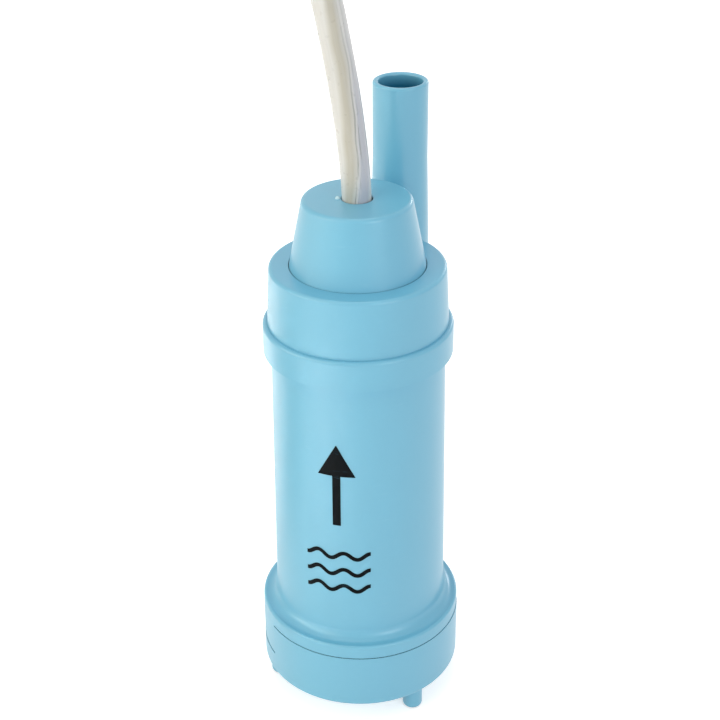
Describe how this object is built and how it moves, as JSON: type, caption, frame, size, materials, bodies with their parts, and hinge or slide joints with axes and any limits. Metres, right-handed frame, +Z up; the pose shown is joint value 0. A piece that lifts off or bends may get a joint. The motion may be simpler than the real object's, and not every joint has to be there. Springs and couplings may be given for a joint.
{
  "type": "submersible water pump",
  "caption": "Submersible 12 V caravan water pump with a hose spigot, a pull-off base cover and a coiled two-core lead.",
  "frame": {"origin": "centre of the intake hole in the underside of the base cover", "axes": "+Z up along the pump's axis, towards the cable cone; -Y towards the side that carries the print; +X to the right seen from there"},
  "size_m": [0.1765, 0.0503, 0.1744],
  "materials": {
    "blue_plastic": "satin",
    "inner_plastic": "matte",
    "impeller_plastic": "satin",
    "white_sheath": "satin",
    "brown_insulation": "satin",
    "blue_insulation": "satin",
    "copper": "bright",
    "rubber": "matte",
    "zinc_steel": "satin",
    "spring_steel": "bright",
    "lamination_steel": "satin",
    "bronze": "satin",
    "brass": "bright",
    "ferrite": "matte",
    "carbon": "matte",
    "ceramic": "gloss",
    "tie_plastic": "satin"
  },
  "bodies": {
    "body": {"pump_housing": "blue_plastic", "top_cap": "blue_plastic", "cable_cone": "blue_plastic", "cable_seal": "rubber", "seal_disc": "inner_plastic", "cap_seal_ring": "rubber", "cover_seal_ring": "rubber", "riser_gasket": "rubber", "shaft_seal": "rubber", "seal_keeper": "spring_steel", "motor_can": "zinc_steel", "motor_bell": "inner_plastic", "motor_cushion": "rubber", "front_bearing": "bronze", "rear_bearing": "bronze", "field_magnets": "ferrite", "magnet_spring": "spring_steel", "brushes": "carbon", "brush_arms": "brass", "motor_terminals": "brass", "suppression_capacitor": "ceramic", "brown_lead": "brown_insulation", "blue_lead": "blue_insulation", "cable_run": "white_sheath", "cable_coil": "white_sheath", "coil_tie": "tie_plastic", "brown_core": "brown_insulation", "blue_core": "blue_insulation", "brown_strands": "copper", "blue_strands": "copper"},
    "rotor": {"motor_shaft": "spring_steel", "rotor_core": "lamination_steel", "rotor_windings": "copper", "commutator": "copper", "impeller": "impeller_plastic", "impeller_clip": "spring_steel", "thrust_washers": "inner_plastic"},
    "cover": {"intake_cover": "blue_plastic"}
  },
  "joints": [
    {"name": "rotor_spin", "type": "hinge", "parent": "body", "child": "rotor", "pos_m": [0, 0, 0], "axis": [0, 0, 1], "continuous": true},
    {"name": "cover_pull", "type": "slide", "parent": "body", "child": "cover", "axis": [0, 0, -1], "range_m": [0, 0.014]}
  ]
}
